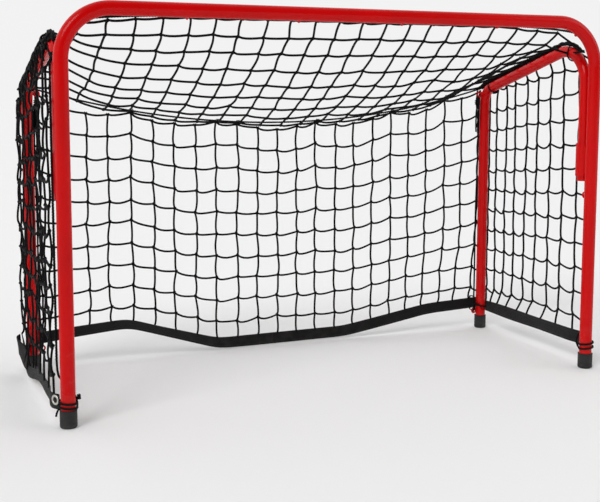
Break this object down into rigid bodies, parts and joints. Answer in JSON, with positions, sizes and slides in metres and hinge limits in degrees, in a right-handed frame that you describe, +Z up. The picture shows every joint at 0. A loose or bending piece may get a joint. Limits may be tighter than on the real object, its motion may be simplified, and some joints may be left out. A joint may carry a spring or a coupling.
{
  "type": "folding hockey goal net",
  "caption": "Small street hockey goal with a bent red tube front, side frames that fold in on hinge sleeves, and a black knotted net on ropes and webbing.",
  "frame": {"origin": "on the floor, under the middle of the goal's overall box", "axes": "+X along the crossbar to the right as seen from the field, +Y from the mouth to the back, +Z up"},
  "size_m": [0.9574, 0.3822, 0.622],
  "materials": {
    "red_coat": "gloss",
    "black_rubber": "matt",
    "black_cord": "matt",
    "black_webbing": "matt",
    "eyelet_metal": "satin"
  },
  "bodies": {
    "front": {"front_frame": "red_coat", "left_hinge_sleeve": "red_coat", "right_hinge_sleeve": "red_coat", "front_left_foot": "black_rubber", "front_right_foot": "black_rubber", "crossbar_eyes": "red_coat", "left_post_eye": "red_coat", "right_post_eye": "red_coat", "top_net": "black_cord", "back_net": "black_cord", "front_edge_rope": "black_cord", "rear_top_rope": "black_cord", "back_band": "black_webbing", "front_left_tie": "black_cord", "front_right_tie": "black_cord"},
    "left_side": {"left_side_frame": "red_coat", "rear_left_foot": "black_rubber", "left_leg_eyes": "red_coat", "left_side_net": "black_cord", "left_rail_rope": "black_cord", "left_band": "black_webbing", "left_eyelet": "eyelet_metal", "rear_left_tie": "black_cord"},
    "right_side": {"right_side_frame": "red_coat", "rear_right_foot": "black_rubber", "right_leg_eyes": "red_coat", "right_side_net": "black_cord", "right_rail_rope": "black_cord", "right_band": "black_webbing", "right_eyelet": "eyelet_metal", "rear_right_tie": "black_cord"}
  },
  "joints": [
    {"name": "left_fold", "type": "hinge", "parent": "front", "child": "left_side", "pos_m": [-0.461, -0.1528, 0], "axis": [0, 0, -1], "range_deg": [0, 90], "deforming": ["top_net", "rear_left_tie"]},
    {"name": "right_fold", "type": "hinge", "parent": "front", "child": "right_side", "pos_m": [0.461, -0.1528, 0], "axis": [0, 0, 1], "range_deg": [0, 90], "deforming": ["top_net", "rear_right_tie"]}
  ]
}
